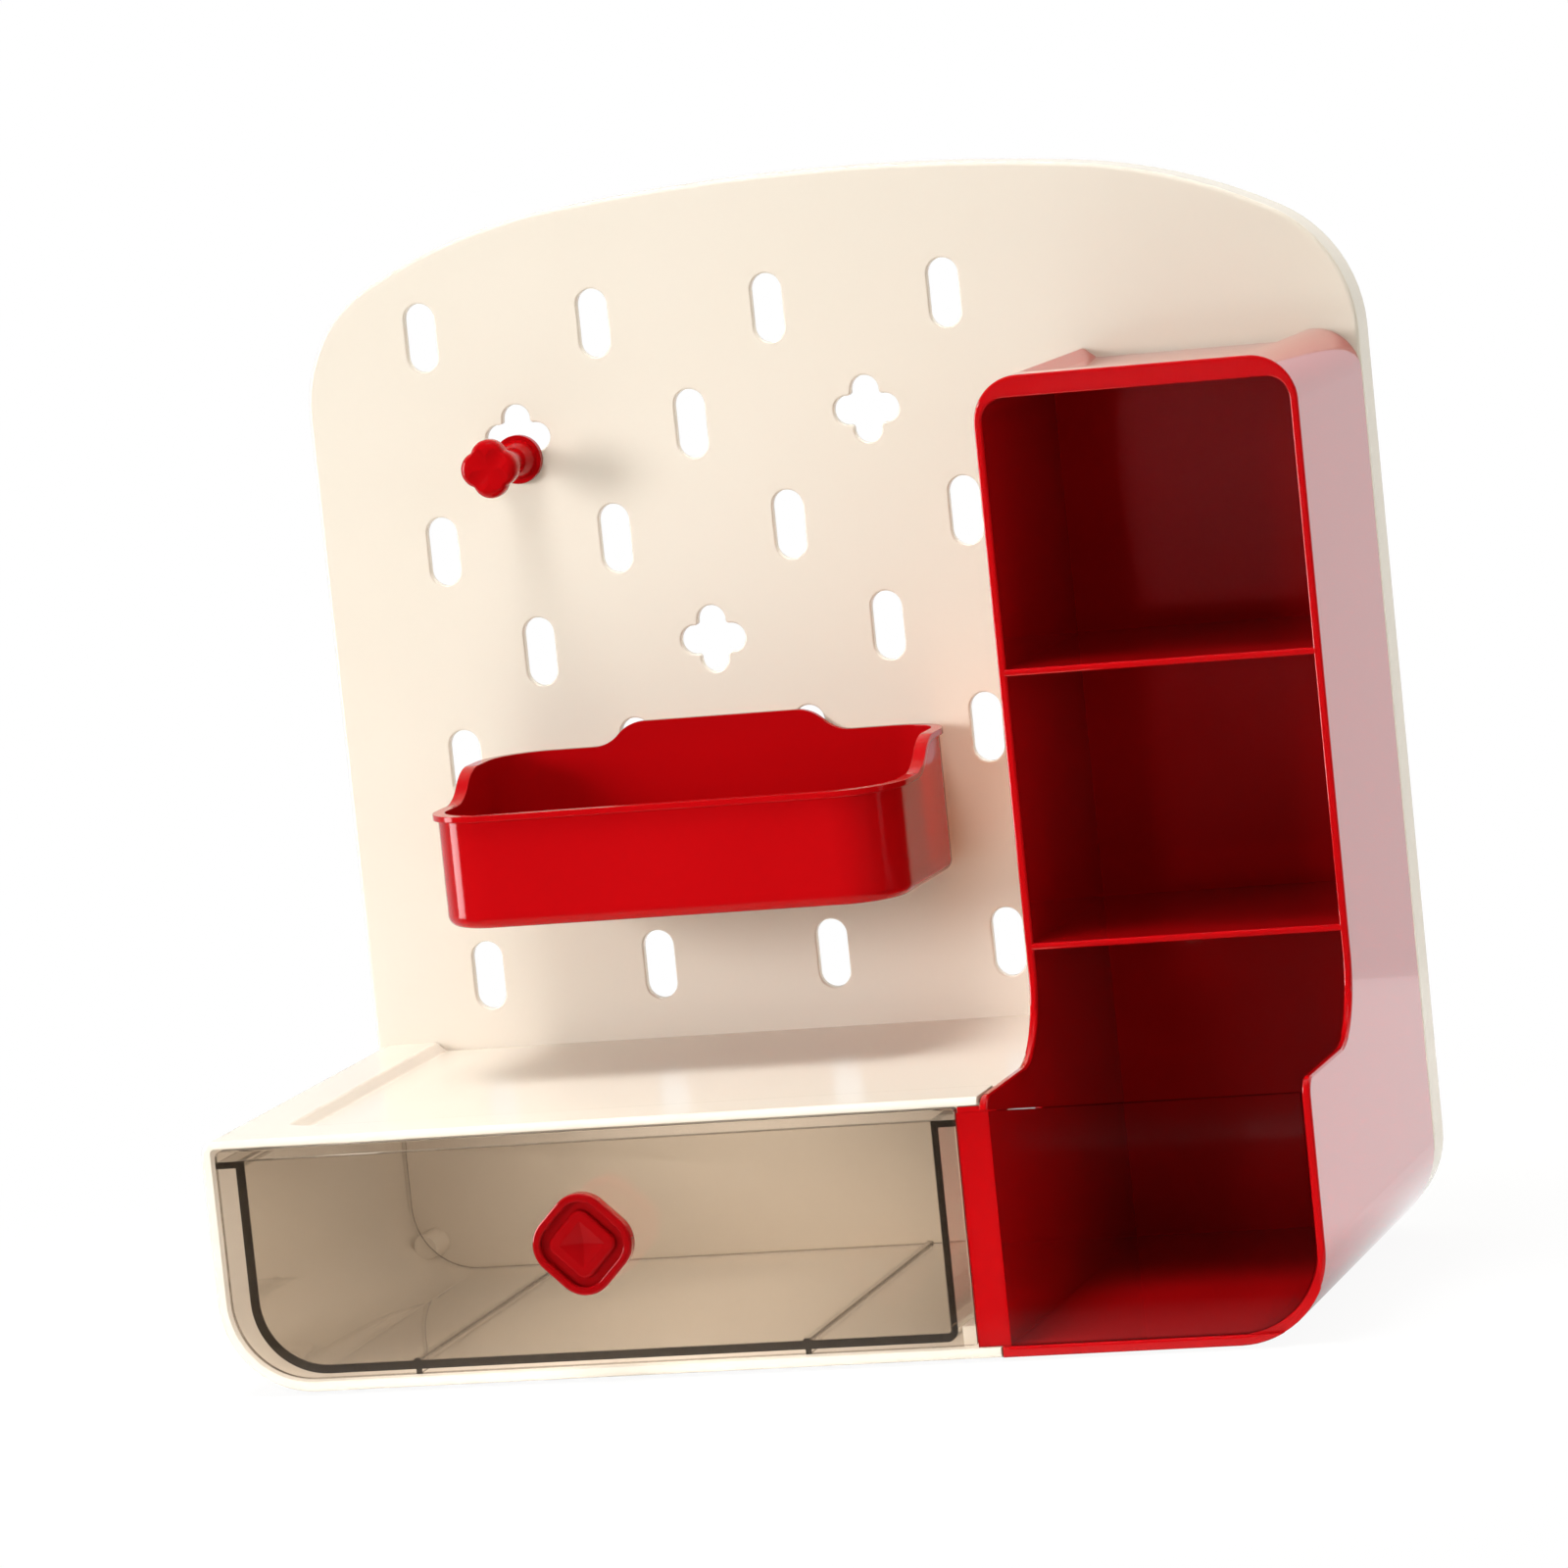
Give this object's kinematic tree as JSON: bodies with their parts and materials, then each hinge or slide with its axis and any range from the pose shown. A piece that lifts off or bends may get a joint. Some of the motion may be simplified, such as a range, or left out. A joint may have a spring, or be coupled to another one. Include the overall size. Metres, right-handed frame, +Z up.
{
  "type": "pegboard desk organizer",
  "caption": "Desk organizer with an arched pegboard back, a clear drawer under a shelf, a side tower of open bins, a hanging tray and a hook peg.",
  "frame": {"origin": "bottom centre of the whole object, in the plane of the foot pads' undersides", "axes": "+X to the right seen from the front, +Y to the back, +Z up; the drawer opens along -Y"},
  "size_m": [0.298, 0.1788, 0.3024],
  "materials": {
    "cream_gloss": "gloss",
    "red_gloss": "high gloss",
    "clear_shield": "clear gloss",
    "smoke_clear": "smoky clear gloss",
    "zinc_steel": "zinc plated",
    "pad_rubber": "matte"
  },
  "bodies": {
    "organizer": {"back_board": "cream_gloss", "base_housing": "cream_gloss", "tower_shell": "red_gloss", "tower_shield": "clear_shield", "housing_screw_1": "zinc_steel", "housing_screw_2": "zinc_steel", "housing_screw_3": "zinc_steel", "housing_screw_4": "zinc_steel", "tower_screw_1": "zinc_steel", "tower_screw_2": "zinc_steel", "foot_front_left": "pad_rubber", "foot_front_right": "pad_rubber", "foot_rear_left": "pad_rubber", "foot_rear_right": "pad_rubber"},
    "drawer": {"drawer_tub": "smoke_clear", "drawer_front": "smoke_clear", "drawer_knob": "red_gloss", "knob_screw": "zinc_steel"},
    "tray": {"hanging_tray": "red_gloss"},
    "peg": {"hook_peg": "red_gloss"}
  },
  "joints": [
    {"name": "drawer_slide", "type": "slide", "parent": "organizer", "child": "drawer", "axis": [0, -1, 0], "range_m": [0, 0.115]},
    {"name": "tray_lift", "type": "slide", "parent": "organizer", "child": "tray", "axis": [0, 0, 1], "range_m": [0, 0.008]},
    {"name": "peg_lift", "type": "slide", "parent": "organizer", "child": "peg", "axis": [0, 0, 1], "range_m": [0, 0.0053]}
  ]
}
